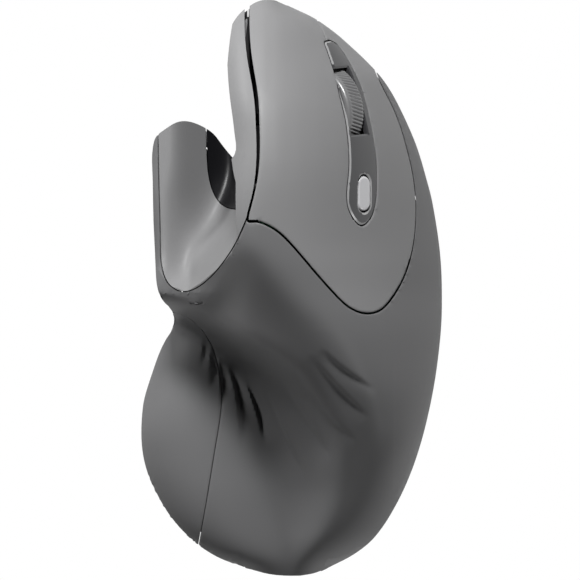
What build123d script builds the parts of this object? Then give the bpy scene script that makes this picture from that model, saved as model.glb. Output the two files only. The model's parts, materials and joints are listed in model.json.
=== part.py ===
from build123d import *
import math
import os
import numpy as np

# Vertical mouse for the right hand. Millimetres; X to the right, Y to the front, Z up.
# The origin lies on the table under the middle of the plan outline.

wall = 2.0
seat_z = 0.6
plan_top = 74.0
grid_step = 0.4
soft_radius = 1.4
across = 5
along = 10


def smooth_curve(stations):
    """Curve through (position, value) stations without overshoot, held level past both ends."""
    pts = sorted(stations)
    p = np.array([s[0] for s in pts], float)
    v = np.array([s[1] for s in pts], float)
    gap = np.diff(p)
    slope = np.diff(v) / gap
    tangent = np.zeros(len(p))
    for i in range(1, len(p) - 1):
        if slope[i - 1] * slope[i] > 0:
            w1 = 2 * gap[i] + gap[i - 1]
            w2 = gap[i] + 2 * gap[i - 1]
            tangent[i] = (w1 + w2) / (w1 / slope[i - 1] + w2 / slope[i])
    tangent[0] = slope[0]
    tangent[-1] = slope[-1]

    def curve(at):
        a = np.clip(np.asarray(at, float), p[0], p[-1])
        i = np.clip(np.searchsorted(p, a, side="right") - 1, 0, len(p) - 2)
        t = (a - p[i]) / gap[i]
        h00 = (1 + 2 * t) * (1 - t) ** 2
        h10 = t * (1 - t) ** 2
        h01 = t * t * (3 - 2 * t)
        h11 = t * t * (t - 1)
        return h00 * v[i] + h10 * gap[i] * tangent[i] + h01 * v[i + 1] + h11 * gap[i] * tangent[i + 1]

    return curve


def smooth_step(t):
    t = np.clip(t, 0, 1)
    return t * t * (3 - 2 * t)


# Stations along Y for the lines that shape the hand side: the ridge with its height, the right
# outline with the height where the flank turns under, the left outline, the valley and the shoulder
# beside it, the lip of the thumb wing and the palm flange.
crest_x = smooth_curve([(64, -5), (54, -6.6), (46, -7.3), (30, -6.3), (16, -7.4), (10, -7), (4, -3.7),
                        (-8, 6.2), (-15, 10.8), (-24, 15.8), (-33, 17.8), (-39, 16.3), (-46, 13.2),
                        (-52, 8.9), (-60, 0)])
crest_z = smooth_curve([(64, 45), (60, 50), (54, 56.5), (47, 61), (35, 66.5), (23, 68), (10, 66.5),
                        (-2, 61.5), (-15, 53.5), (-27, 43), (-39, 31.5), (-52, 18.5), (-60, 7), (-64, 2)])
right_x = smooth_curve([(64, -3.5), (60, -3.3), (58.7, 0), (55, 6.8), (49.6, 13), (44.4, 18.6), (38, 22.3),
                        (29, 26.3), (17, 29.6), (4, 31.2), (-5, 31.2), (-15, 30.4), (-27, 28.1),
                        (-39, 24.4), (-46, 21.5), (-52, 17.6), (-57, 10), (-60, 4), (-64, 3)])
right_z = smooth_curve([(64, 45), (60, 48), (55, 43), (50, 38), (44, 32), (41, 28.5), (35, 23), (29, 18),
                        (23, 14), (16, 11), (4, 8), (-2, 7), (-60, 6), (-64, 3)])
left_x = smooth_curve([(64, -28), (-2, -26.3), (-5, -24.8), (-8.4, -25.7), (-15, -28.1), (-21, -30),
                       (-30, -31.2), (-36, -30.4), (-42.5, -28.1), (-49, -24.2), (-55, -17.4),
                       (-58, -11.2), (-60, -5), (-64, -4)])
valley_x = smooth_curve([(64, -47), (-1.3, -47), (-2.2, -40), (-4.2, -27), (-6.7, -21), (-11.7, -15.5),
                         (-19.8, -10.3), (-33, -6.6), (-48, -3.7), (-64, 0)])
shoulder_x = smooth_curve([(64, -41), (-1.3, -41), (-2.2, -34), (-4.2, -21), (-6.7, -14), (-11.7, -5.2),
                           (-19.8, 5.2), (-26, 9.7), (-33, 12), (-40.5, 12), (-48, 9.7), (-55, 5.2),
                           (-64, 2)])
lip_x = smooth_curve([(64, -31), (-2, -30), (-23, -29), (-64, -18.6)])
lip_z = smooth_curve([(64, 29), (35, 30), (-2, 32), (-10.5, 33), (-27, 25), (-43.5, 15), (-64, 3)])
flange_z = smooth_curve([(64, 13), (-4, 13), (-23, 14), (-39.5, 12.5), (-52, 9.5), (-59, 6.5), (-64, 3)])
rim_edge = smooth_curve([(-34, 6), (-26.1, -1.9), (-24.7, -3.2), (-23, -3.7), (-20.9, -3.6), (-18.3, -2.6),
                         (-15.6, -0.9), (-13.1, 1.9), (-11, 5.5), (-9.5, 10), (-8.6, 16)])
rim_drop = smooth_curve([(-27, 0), (-24, 1.5), (-22, 3.6), (-17, 4.2), (-14, 3.2), (-11, 1.4), (-8.8, 0)])
drop_run = 2.2
steep_foot = (-8.0, -17.0)
flange_width = 13.6
flange_run = 1.6
flank_run = 2.5
flank_drop = 9.0


def hand_height(x, y):
    """Height of the hand side before softening."""
    xc = crest_x(y)
    zc = crest_z(y)
    xr = right_x(y) + flank_run
    zr = right_z(y) - flank_drop
    t = np.clip((x - xc) / np.maximum(xr - xc, 0.5), 0, 1)
    right = zr + (zc - zr) * (1 - t ** 1.9) ** 0.62 - 2.6 * np.maximum(x - xr, 0)
    s = np.clip((xc - x) / (xc - lip_x(y)), 0, 1)
    sheet = lip_z(y) + (zc - lip_z(y)) * 0.5 * (1 + np.cos(np.pi * s))
    lean = (rim_edge(x + 0.5) - rim_edge(x - 0.5))
    past = np.maximum(rim_edge(x) - y, 0) / np.sqrt(1 + lean ** 2)
    sheet = sheet - rim_drop(x) * (1 - np.exp(-past / drop_run))
    e = (x - left_x(y) + flange_run) / flange_width
    rise = np.sqrt(1 - (1 - np.clip(e, 0, 1)) ** 2.2)
    flange = flange_z(y) * rise + 2.0 * np.minimum(e * flange_width, 0)
    t = np.clip((x - valley_x(y)) / (shoulder_x(y) - valley_x(y)), 0, 1)
    steep = smooth_step((y - steep_foot[1]) / (steep_foot[0] - steep_foot[1]))
    m = smooth_step(t) * (1 - steep) + (1 - (1 - t) ** 2.2) * steep
    left = flange + (sheet - flange) * m
    return np.maximum(np.where(x >= xc, right, left), -30)


def soften(field, radius):
    """Gaussian softening of a height field on the fine grid."""
    reach = int(3 * radius / grid_step)
    k = np.exp(-0.5 * (np.arange(-reach, reach + 1) * grid_step / radius) ** 2)
    k /= k.sum()
    for axis in (0, 1):
        pad = [(reach, reach) if a == axis else (0, 0) for a in (0, 1)]
        field = np.apply_along_axis(lambda r: np.convolve(r, k, mode="valid"), axis, np.pad(field, pad, "edge"))
    return field


def pressed_in(field, radius, sign):
    """Height field moved by a ball of the given radius: down for -1, up for +1."""
    reach = int(radius / grid_step)
    padded = np.pad(field, reach, "edge")
    rows, cols = field.shape
    out = np.full(field.shape, sign * -1e9)
    for i in range(-reach, reach + 1):
        for j in range(-reach, reach + 1):
            d2 = radius ** 2 - (i * i + j * j) * grid_step ** 2
            if d2 < 0:
                continue
            part = padded[reach + i:reach + i + rows, reach + j:reach + j + cols] + sign * math.sqrt(d2)
            out = np.minimum(out, part) if sign < 0 else np.maximum(out, part)
    return out


hand_xs = np.arange(-38, 38.01, grid_step)
hand_ys = np.arange(-68, 68.01, grid_step)
hx, hy = np.meshgrid(hand_xs, hand_ys, indexing="ij")
hand_field = soften(hand_height(hx, hy), soft_radius)


def height_at(x, y, field=hand_field):
    """Height of the hand side over one plan point."""
    i = (x - hand_xs[0]) / grid_step
    j = (y - hand_ys[0]) / grid_step
    i0 = int(min(max(i, 0), len(hand_xs) - 2))
    j0 = int(min(max(j, 0), len(hand_ys) - 2))
    a = i - i0
    b = j - j0
    low = field[i0, j0] * (1 - a) + field[i0 + 1, j0] * a
    high = field[i0, j0 + 1] * (1 - a) + field[i0 + 1, j0 + 1] * a
    return float(low * (1 - b) + high * b)


def sheet_solid(us, ys, field, place, deep):
    """Solid between a height field, laid out by the place function, and the same plan moved by deep."""
    wires = []
    even = [float(v) for v in np.linspace(0, 1, len(us[::across]))]
    for j in range(0, len(ys), along):
        pts = [place(us[i], ys[j], field[i, j]) for i in range(0, len(us), across)]
        first = place(us[0], ys[j], 0) + deep
        last = place(us[-1], ys[j], 0) + deep
        sides = [Edge.make_line(pts[-1], last), Edge.make_line(last, first), Edge.make_line(first, pts[0])]
        wires.append(Wire([Edge.make_spline(pts, parameters=even)] + sides))
    return Solid.make_loft(wires)


def upright(x, y, z):
    return Vector(x, y, z)


def below_field(field):
    """Solid under a height field."""
    return sheet_solid(hand_xs, hand_ys, field, upright, Vector(0, 0, -60))


# Thumb scoop: profiles at stations along Y, each from the wing lip over the trough and up the wall
# under the ridge, held in a frame leaned to the left so that the undercut can be seen into.
scoop_lean = math.radians(22)
scoop_stations = {
    66: [(-42, 60), (-29.5, 30.6), (-26.4, 31.2), (-23.6, 31.8), (-22.4, 30.6), (-19.3, 26), (-16, 21.5), (-13, 19),
         (-10.8, 22), (-9.8, 30), (-9.8, 40), (-11.2, 50), (-13.5, 57.5), (-16, 66), (-20, 85)],
    44: [(-42, 60), (-29.5, 30.6), (-26.4, 31.2), (-23.6, 31.8), (-22.4, 30.6), (-19.3, 26), (-16, 21.5), (-13, 19),
         (-10.8, 22), (-9.7, 30), (-9.6, 40), (-10.6, 50), (-12.9, 57.8), (-15.5, 66), (-20, 85)],
    26: [(-42, 60), (-29.5, 30.6), (-26.4, 31.2), (-24.0, 31.6), (-22.6, 30.4), (-19.5, 26), (-16, 21.8), (-13, 19.4),
         (-10.6, 22), (-9.5, 30), (-9.3, 40), (-9.7, 50), (-11.2, 60), (-13, 68), (-18, 85)],
    16: [(-42, 60), (-29.5, 31.0), (-26.8, 31.3), (-25.2, 31.1), (-23.4, 29.8), (-20.2, 26.4), (-16.8, 23), (-14.4, 24),
         (-12.6, 29), (-11.2, 37), (-10.4, 46), (-10.1, 55), (-10.3, 63), (-11.5, 71), (-16, 87)],
    8: [(-42, 60), (-29.5, 32.0), (-27.0, 31.8), (-25.4, 31.4), (-23.8, 30.5), (-21, 29), (-18.8, 31), (-17, 35),
        (-15.3, 41), (-13.8, 48), (-12.6, 55), (-11.8, 61), (-11.3, 67), (-12, 75), (-16, 89)],
    2: [(-42, 60), (-29.5, 35), (-27.0, 34), (-25.4, 33.4), (-24, 33), (-21.6, 33), (-19.8, 37.5), (-18.2, 43),
        (-16.8, 49), (-15.5, 55), (-14.4, 61), (-13.5, 67), (-13, 73), (-13.2, 80), (-16, 92)],
    -6: [(-42, 66), (-30, 50), (-27.5, 48), (-26, 47.2), (-24, 47), (-21.6, 49), (-19.8, 53), (-18.2, 58),
         (-16.8, 64), (-15.5, 70), (-14.4, 75), (-13.5, 80), (-13, 85), (-13.2, 90), (-16, 100)],
}


def lean(x, z):
    u = x * math.cos(scoop_lean) + z * math.sin(scoop_lean)
    h = -x * math.sin(scoop_lean) + z * math.cos(scoop_lean)
    return u, h


def unlean(u, y, h):
    x = u * math.cos(scoop_lean) - h * math.sin(scoop_lean)
    z = u * math.sin(scoop_lean) + h * math.cos(scoop_lean)
    return Vector(x, y, z)


scoop_us = np.arange(-16, 14.01, grid_step)
scoop_ys = np.arange(-6, 66.01, grid_step)


def scoop_height():
    count = len(scoop_stations[66])
    along_x = [smooth_curve([(y, p[k][0]) for y, p in scoop_stations.items()]) for k in range(count)]
    along_z = [smooth_curve([(y, p[k][1]) for y, p in scoop_stations.items()]) for k in range(count)]
    field = np.zeros((len(scoop_us), len(scoop_ys)))
    for j, y in enumerate(scoop_ys):
        profile = [lean(float(along_x[k](y)), float(along_z[k](y))) for k in range(count)]
        field[:, j] = smooth_curve(profile)(scoop_us)
    return soften(field, 0.9)


scoop_field = scoop_height()


def scoop_solid(grow=0.0):
    """Room above the scoop surface, moved outward by grow."""
    field = scoop_field if grow == 0 else pressed_in(scoop_field, grow, -1)
    up = Vector(-math.sin(scoop_lean), 0, math.cos(scoop_lean)) * 150
    return sheet_solid(scoop_us, scoop_ys, field, unlean, up)


# Plan outline: widest point with its height and how far the base stands in below it.
outline = [
    (-4.6, 60.0, 49, 4.4), (0, 58.9, 47, 4.4), (5, 56.3, 44, 4.2), (10.1, 52.5, 40, 3.6), (15.5, 47.4, 34, 2.8),
    (20.5, 41.3, 28, 2), (23.8, 35.1, 23, 1.4), (26.4, 28.9, 18, 1), (28.2, 22.7, 14, 0.8),
    (30.3, 13.2, 11, 0.6), (31.3, 4, 9, 0.5), (31.3, -5.3, 8, 0.5), (30.4, -14.6, 8, 0.5),
    (28.8, -23.9, 8, 0.5), (26.5, -33.2, 8, 0.5), (24.0, -40.4, 8, 0.5), (20.6, -47.2, 8, 0.5),
    (15.4, -54, 7, 0.5), (8.8, -58.3, 7, 0.5), (0, -60.0, 7, 0.5), (-9, -58.8, 6, 0.5),
    (-17.4, -54.9, 6, 0.5), (-24.2, -48.8, 6, 0.5), (-28.6, -41.5, 6, 0.5), (-31, -33.5, 7, 0.5),
    (-31, -25, 8, 0.5), (-29.2, -17.7, 10, 0.6), (-26.3, -10, 14, 0.8), (-24.5, -4.9, 20, 1.2),
    (-26.3, -1.4, 26, 1.8), (-27.7, 5, 30, 2.4), (-28.3, 15, 31, 2.6), (-28.6, 24, 31, 2.2), (-28.2, 30.9, 31, 1.2),
    (-25.9, 33.4, 31, 1.0), (-22.3, 35.2, 29, 1.2), (-16.6, 33.4, 28, 1.4), (-11.0, 26.9, 30, 1.2),
    (-11.2, 33.5, 50, 1.0), (-12.4, 40.5, 56, 1.2), (-12.9, 47.2, 57, 1.4), (-12.7, 52.8, 56, 1.8),
    (-9.6, 57.5, 52, 3.2),
]


def plan_ring(level, inset=0.0):
    """Outline ring where the leaning side walls pass the given height, moved in by inset."""
    pts = np.array([(p[0], p[1]) for p in outline])
    ahead = np.roll(pts, -1, axis=0) - np.roll(pts, 1, axis=0)
    ahead /= np.linalg.norm(ahead, axis=1)[:, None]
    inward = np.stack([ahead[:, 1], -ahead[:, 0]], axis=1)
    share = np.array([(p[2] - level) / p[2] * p[3] + inset for p in outline])
    ring = pts + inward * share[:, None]
    return [(float(a), float(b)) for a, b in ring]


ring_breaks = (0, 9, 19, 26, 33, 37)
notch_corner = 37


def ring_wire(points, z):
    """Closed wire through a ring, made of a few spans that meet smoothly but for one corner."""
    count = len(points)
    edges = []
    for k, first in enumerate(ring_breaks):
        last = ring_breaks[(k + 1) % len(ring_breaks)]
        if last <= first:
            last += count
        span = [Vector(*points[i % count], z) for i in range(first, last + 1)]
        ends = []
        for i in (first, last):
            before = points[(i - 1) % count]
            after = points[(i + 1) % count]
            if i == notch_corner:
                before = points[i] if i == first else before
                after = points[i] if i == last else after
            ends.append(Vector(after[0] - before[0], after[1] - before[1], 0).normalized())
        edges.append(Edge.make_spline(span, tangents=ends))
    return Wire(edges)


def column(inset=0.0, low=0.0):
    """Solid inside the plan outline with its leaning side walls."""
    base = ring_wire(plan_ring(low, inset), low)
    top = ring_wire(plan_ring(plan_top, inset), plan_top)
    return Solid.make_loft([base, top], ruled=True)


def shifted(points, d):
    """Open run of plan points moved to its right-hand side by d, one distance or one for each point."""
    pts = np.array(points, float)
    ahead = np.gradient(pts, axis=0)
    ahead /= np.linalg.norm(ahead, axis=1)[:, None]
    moved = pts + np.stack([ahead[:, 1], -ahead[:, 0]], axis=1) * np.reshape(d, (-1, 1))
    return [(float(a), float(b)) for a, b in moved]


def seam_prism(seam, d=0.0, corners=(), low=-5.0, high=90.0):
    """Upright prism bounded by a smooth seam, moved by d, and closed over straight corners."""
    run = [Vector(a, b, low) for a, b in shifted(seam, d)]
    stops = [Vector(a, b, low) for a, b in corners]
    edges = [Edge.make_spline(run)]
    chain = [run[-1]] + stops + [run[0]]
    edges += [Edge.make_line(p, q) for p, q in zip(chain[:-1], chain[1:])]
    return Solid.extrude(Face(Wire(edges)), Vector(0, 0, high - low))


def box(x0, x1, y0, y1, z0, z1):
    return Solid.make_box(x1 - x0, y1 - y0, z1 - z0).moved(Location((x0, y0, z0)))


# Seams in plan.
plate_seam = [
    (-7.6, 70), (-8.4, 60), (-8.5, 55.8), (-7.9, 47.5), (-6.6, 39.2), (-6.4, 35), (-6.3, 28.9),
    (-6.8, 22.7), (-7.7, 18.5), (-8.5, 15.4), (-8.5, 14.1), (-7.2, 14.1), (-5.6, 13.8), (-3.5, 12.8),
    (0.6, 9.2), (4.9, 4.2), (9.1, -0.5), (12.4, -3.5), (15.5, -4.7), (18.4, -4.2), (20.9, -1.8),
    (23.5, 2.5), (25.2, 7.6), (26.1, 14), (26.1, 19), (25.6, 23.5), (24.4, 28.9), (22.8, 34.3),
    (20.9, 38.8), (18.6, 43.3), (17.4, 46.5), (16.8, 52), (16.6, 70),
]
panel_seam = [
    (-27.2, 48), (-27.4, 36), (-27.3, 27), (-27.1, 18.5), (-26.9, 10.2), (-26.5, 4.4), (-25.0, 1.1),
    (-22.3, -0.3), (-18.6, 0.9), (-14.4, 4.9), (-11.0, 10.0), (-9.6, 13.0), (-8.6, 15.6), (-7.9, 18.5),
    (-7.0, 22.7), (-6.5, 28.9), (-6.6, 35.0), (-6.8, 39.2), (-8.1, 47.5), (-8.7, 55.8), (-8.6, 60), (-7.8, 70),
]
skirt_seam = [
    (-21, -64), (-19.2, -53.3), (-17.2, -42.5), (-15.5, -32.2), (-14.3, -22.9), (-15.1, -15.6),
    (-17.6, -9.4), (-20.7, -6.1), (-24.4, -4.6), (-34, -3.6),
]
panel_low = 15.0
plate_lip = 6.5
plate_gaps = ([1.0] * 4 + [0.9, 0.8, 0.7, 0.55] + [0.45] * 5 + [0.45] * 8 + [0.4, 0.35] + [0.28] * 10)
key_side = 0.12
gap_lip = 1.0
gap_key = 0.35
gap_split = 0.16
gap_skirt = 0.14

# Frames: the key frame lies flat under the key plate, the wheel frame stands in the wheel slot.
key_frame = Plane(origin=(14, 24, 52.7), x_dir=(0.77, 0, -0.64), z_dir=(0.64, 0, 0.77))
wheel_radius = 9.5
wheel_width = 5.0
wheel_frame = Plane(origin=(7.0, 37.0, 45.4), x_dir=(0.697, 0.116, -0.707), z_dir=(0.671, 0.240, 0.701))
strip_seam = [
    (7.1, 50.7), (8.3, 47.5), (10.1, 40.7), (11.4, 35.1), (12.1, 28.9), (12.1, 24.2), (11.7, 19.6), (11.9, 17.2),
    (12.8, 15.0), (14.9, 13.1), (17.0, 15.0), (17.9, 18.0), (18.15, 22.7), (18.1, 25.8), (17.5, 30.8), (16.2, 37.2),
    (14.6, 42.6), (13.0, 46.0), (11.3, 49.0), (9.9, 50.8), (8.7, 51.6), (7.6, 51.6),
]
split_line = [(7.6, 51.0), (5.8, 55.6), (3.6, 60.5), (0.5, 66)]
slot_half = 2.95
slot_reach = 7.2
pocket_seam = [
    (-17.6, 60), (-17.5, 45), (-17.4, 35), (-17.2, 28.9), (-16.6, 22.7), (-15.3, 19.3), (-13.6, 17.5),
    (-11.6, 16.9), (-4, 16.8),
]
pocket_top = 46.0
strip_sink = 0.45
strip_depth = 2.2
root_y = 14.4
dpi_spot = (15.4, 19.9)
dpi_size = (3.5, 7.2)
board_top = -11.5
board_thick = 1.6
base_thick = 2.0
base_top = seat_z + base_thick
main_board_z = 7.0
side_z = 29.5
side_height = 8.5
side_spots = ((28.2, 10.5), (41.0, 11.5))
slider_x = 19.8
slider_y = -8.5
screw_spots = ((-7.2, 45.5), (26.7, 8.0), (5.0, -55.0), (-26.3, -31.0))
board_screw_spots = ((-1.5, -10.5), (11.5, -10.5), (14.5, 27.5), (0.5, 38.5))


def in_frame(frame, shape):
    """Shape drawn about the origin, set into a frame."""
    return shape.moved(frame.location)


def rod(radius, low, high, x=0.0, y=0.0):
    return Solid.make_cylinder(radius, high - low).moved(Location((x, y, low)))


def lifted(points, frame, lift=0.0):
    """Plan points on the hand side, seen in a frame as flat points."""
    flat = []
    for a, b in points:
        local = frame.to_local_coords(Vector(a, b, height_at(a, b) + lift))
        flat.append((local.X, local.Y))
    return flat


def leaning_prism(seam, frame, d=0.0, low=-30.0, high=30.0, closed=False):
    """Prism along a frame's normal through plan points lying on the hand side."""
    flat = lifted(seam, frame)
    if closed:
        pts = np.array(flat)
        ahead = np.roll(pts, -1, axis=0) - np.roll(pts, 1, axis=0)
        ahead /= np.linalg.norm(ahead, axis=1)[:, None]
        pts = pts + np.stack([ahead[:, 1], -ahead[:, 0]], axis=1) * d
        wire = Wire([Edge.make_spline([Vector(a, b, low) for a, b in pts], periodic=True)])
    else:
        run = [Vector(a, b, low) for a, b in shifted(flat, d)]
        wire = Wire([Edge.make_spline(run), Edge.make_line(run[-1], run[0])])
    return in_frame(frame, Solid.extrude(Face(wire), Vector(0, 0, high - low)))


def pill(width, length, low, high, x=0.0, y=0.0):
    """Upright solid with a pill outline, its length along Y."""
    half = (length - width) / 2
    body = box(-width / 2, width / 2, -half, half, low, high)
    body = body + rod(width / 2, low, high, 0, -half) + rod(width / 2, low, high, 0, half)
    return body.moved(Location((x, y, 0)))


hand = below_field(hand_field)
scoop = scoop_solid()
outer = ((column() & hand) - scoop) - box(-60, 60, -80, 80, -5, seat_z)
under = below_field(soften(pressed_in(hand_field, wall, -1), 0.7))
grown_scoop = scoop_solid(wall)
inner = (column(wall, -2.0) & under) - grown_scoop
shell = outer - inner

# Key plate, cut out of the shell with its front lip.
lip_floor = hand.moved(Location((0, 0, -plate_lip)))
plate = (shell & seam_prism(plate_seam, -key_side)) - lip_floor
hole_side = [g - key_side for g in plate_gaps]
plate_room = seam_prism(plate_seam, hole_side)
plate_hole = plate_room - lip_floor.moved(Location((0, 0, -gap_lip)))
strip_hole = leaning_prism(strip_seam, key_frame, closed=True)
split_flat = lifted(split_line, key_frame)
split_ring = shifted(split_flat, gap_split / 2) + shifted(split_flat, -gap_split / 2)[::-1]
split_face = Face(Wire.make_polygon([Vector(a, b, -30) for a, b in split_ring], close=True))
strip_hole = strip_hole + in_frame(key_frame, Solid.extrude(split_face, Vector(0, 0, 60)))
behind_root = box(-60, 60, -80, root_y - gap_key / 2, -5, 90)
ahead_root = box(-60, 60, root_y + gap_key / 2, 90, -5, 90)
axle_frame = Plane(origin=wheel_frame.origin, x_dir=wheel_frame.y_dir, z_dir=wheel_frame.x_dir)
wheel_room = in_frame(axle_frame, rod(wheel_radius + 0.45, -wheel_width / 2 - 0.45, wheel_width / 2 + 0.45))
keys = (plate - strip_hole) - wheel_room
front_keys = sorted((keys & ahead_root).solids(), key=lambda k: k.center().X)
key_posts = {"left_button": (-11.5, 8.0), "right_button": (10.4, 3.0)}


def with_post(key, spot):
    """Key with the post that reaches down to its switch."""
    post = in_frame(key_frame, rod(1.3, board_top + 4.4, 6, *spot)) & inner
    return key + post


nodes = {}
nodes["left_button"] = with_post(front_keys[0], key_posts["left_button"])
nodes["right_button"] = with_post(front_keys[-1], key_posts["right_button"])

bridge_bosses = ((-8.0, -15.5), (4.0, -16.0))
bridge = keys & behind_root
for spot in bridge_bosses:
    boss = in_frame(key_frame, rod(2.4, board_top, 6, *spot)) & inner
    hole = in_frame(key_frame, rod(0.83, board_top - 1, board_top + 6, *spot))
    bridge = (bridge + boss) - hole
nodes["button_bridge"] = bridge

# Sunk strip between the keys with the wheel slot and the pill-shaped recess.
strip_top = hand.moved(Location((0, 0, -strip_sink)))
strip_low = hand.moved(Location((0, 0, -strip_depth)))
strip = (leaning_prism(strip_seam, key_frame, -gap_key, closed=True) & strip_top & outer) - strip_low
strip = (strip - in_frame(wheel_frame, box(-slot_half, slot_half, -slot_reach, slot_reach, 2, 20))) - wheel_room
dpi_local = lifted([dpi_spot], key_frame)[0]
recess = in_frame(key_frame, pill(dpi_size[0] + 0.8, dpi_size[1] + 0.8, -20, 20, *dpi_local))
strip = strip - recess
tab_plan = [(18.4, 10.8), (12.0, 10.8), (11.4, 11.6), (12.2, 16.4), (14.8, 16.8), (17.4, 16.4), (18.6, 12)]
tab = leaning_prism(tab_plan, key_frame, closed=False) & under
tab = tab - under.moved(Location((0, 0, -1.4)))
tab = (tab - recess) - in_frame(key_frame, rod(2.7, -30, 10, *bridge_bosses[1]))
nodes["wheel_trim"] = max((strip + tab).solids(), key=lambda k: k.volume)

cap_top = 0.5
cap = pill(dpi_size[0], dpi_size[1], -3.2, cap_top, *dpi_local)
flange = pill(dpi_size[0] + 1.8, dpi_size[1] + 1.4, -5.0, -4.0, *dpi_local)
stem = rod(1.0, board_top + 4.3, -3.0, *dpi_local)
neck = pill(dpi_size[0] - 0.6, dpi_size[1] - 0.6, -4.2, -3.0, *dpi_local)
nodes["dpi_button"] = in_frame(key_frame, cap + neck + flange + stem)

# Thumb scoop skin and the gloss panel around the side buttons.
wing_wall = (column() - column(wall + 0.05, -2.0)) & box(-60, -23, -20, 50, -5, 28.6)
panel_room = seam_prism(panel_seam, -0.12, low=panel_low) + box(-12, -5.0, 17, 56.4, panel_low, pocket_top)
panel = ((shell & panel_room) - wing_wall) - plate_hole
panel_hole = seam_prism(panel_seam, 0.12, low=panel_low - 0.25)
panel_hole = (panel_hole + box(-12, -4.8, 16.8, 56.6, panel_low - 0.25, pocket_top + 0.2)) - wing_wall
pocket = seam_prism(pocket_seam, 0, ((-4, 62),), 0, pocket_top)
pocket_gap = seam_prism(pocket_seam, 0.2, ((-4, 62),), 0, pocket_top + 0.2)
bezel = panel & pocket
panel = panel - pocket_gap
side_face = Plane(origin=(0, 0, side_z), x_dir=(0, 1, 0), z_dir=(-1, 0, 0))


def side_pad(length, height, near, far, spot, grow=0.0):
    """Rounded pad on the thumb wall from x = -far to x = -near."""
    body = Solid.extrude(Face(Wire.make_polygon([
        Vector(-length / 2 - grow + 2, -height / 2 - grow, 0), Vector(length / 2 + grow - 2, -height / 2 - grow, 0),
        Vector(length / 2 + grow, -height / 2 - grow + 2, 0), Vector(length / 2 + grow, height / 2 + grow - 2, 0),
        Vector(length / 2 + grow - 2, height / 2 + grow, 0), Vector(-length / 2 - grow + 2, height / 2 + grow, 0),
        Vector(-length / 2 - grow, height / 2 + grow - 2, 0), Vector(-length / 2 - grow, -height / 2 - grow + 2, 0),
    ], close=True)), Vector(0, 0, far - near))
    return body.moved(side_face.location).moved(Location((-near, spot, 0)))


for name, (spot, length) in zip(("back_button", "forward_button"), side_spots):
    bezel = bezel - side_pad(length, side_height, 4, 14, spot, 0.35)
    pad = side_pad(length, side_height, 6.9, 10.7, spot)
    rim = side_pad(length, side_height, 6.2, 6.9, spot, 0.7)
    nub = Solid.make_cylinder(1.0, 0.6).moved(Location((-5.75, spot, side_z), (0, 1, 0), -90))
    nodes[name] = pad + rim + nub
side_posts = ((21.2, 24.6, 1.6), (21.2, 34.4, 1.6), (48.3, 24.6, 1.6), (48.3, 34.4, 1.6))
for y, z, r in side_posts:
    post = Solid.make_cylinder(r, 8).moved(Location((-3.8, y, z), (0, 1, 0), -90)) & inner
    bezel = bezel + post
nodes["side_button_bezel"] = bezel
nodes["thumb_panel"] = panel
nodes["side_switch_board"] = box(-3.8, -2.8, 19.2, 50.2, 22.8, 36.2)
side_switches = [box(-5.25, -3.8, s - 2.5, s + 2.5, side_z - 2.5, side_z + 2.5) for s, _ in side_spots]
nodes["side_switches"] = Compound(side_switches)

# Skirt cover at the lower left and the main shell with its screw bosses.
skirt_corners = ((-44, -3.6), (-44, -70), (-21, -70))
skirt = shell & seam_prism(skirt_seam, -gap_skirt / 2, skirt_corners)
main = ((shell - plate_hole) - panel_hole) - seam_prism(skirt_seam, gap_skirt / 2, skirt_corners)
for x, y in screw_spots:
    boss = rod(2.6, base_top, 12.5, x, y) & inner
    hole = rod(0.93, 0, 8.5, x, y)
    if x < -20:
        skirt = (skirt + boss) - hole
    else:
        main = (main + boss) - hole
port = box(-4.6, 4.6, 45, 62, 8.5, 11.9)
main = main - port
nodes["side_skirt"] = skirt
nodes["main_shell"] = main

# Underside.
base = column(wall + 0.35, -2.0) & box(-60, 60, -80, 80, seat_z, base_top)
base = base - box(-0.5, 8.5, 5.5, 18.5, 0, 5) - box(slider_x - 1.6, slider_x + 1.6, slider_y - 4.2, slider_y + 4.2, 0, 5)
for x, y in screw_spots:
    base = base - rod(1.0, 0, 5, x, y) - rod(2.0, 0, seat_z + 1.0, x, y)
for x, y in board_screw_spots:
    base = (base + rod(2.0, base_top, main_board_z, x, y)) - rod(0.83, base_top + 0.4, 20, x, y)
nodes["base_plate"] = base
screws = []
for x, y in screw_spots:
    screws.append(rod(1.8, seat_z + 0.05, seat_z + 1.0, x, y) + rod(0.9, seat_z + 0.9, 7.5, x, y))
nodes["base_screws"] = Compound(screws)

def foot(points):
    edge = Edge.make_spline([Vector(a, b, 0) for a, b in points], periodic=True)
    return Solid.extrude(Face(Wire([edge])), Vector(0, 0, seat_z))


front_foot = foot([(-4, 49.5), (2, 48), (8, 44.5), (14, 38.5), (18.5, 31.5), (17.5, 29), (13, 33.5), (7.5, 38.5),
                   (1, 42), (-4.5, 43.5), (-6, 46.5)])
rear_foot = foot([(-14, -50.5), (-6, -54), (0, -54.6), (-1, -50), (-8, -49.5), (-14, -46.5), (-18, -44)])
side_foot = foot([(24, -8), (25.5, -18), (24.5, -28), (22, -36), (19, -36.5), (20.5, -27), (21.5, -17), (21, -8)])
wing_foot = foot([(-23.5, 26), (-21, 27.5), (-18.5, 25), (-18, 17), (-19, 9), (-22, 8), (-24, 13), (-24.4, 20)])
ring_foot = (pill(17, 22, 0, seat_z) - pill(12, 17, -1, seat_z + 1)).moved(Location((4, 12, 0)))
nodes["glide_feet"] = Compound([front_foot, rear_foot, side_foot, wing_foot, ring_foot])

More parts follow.
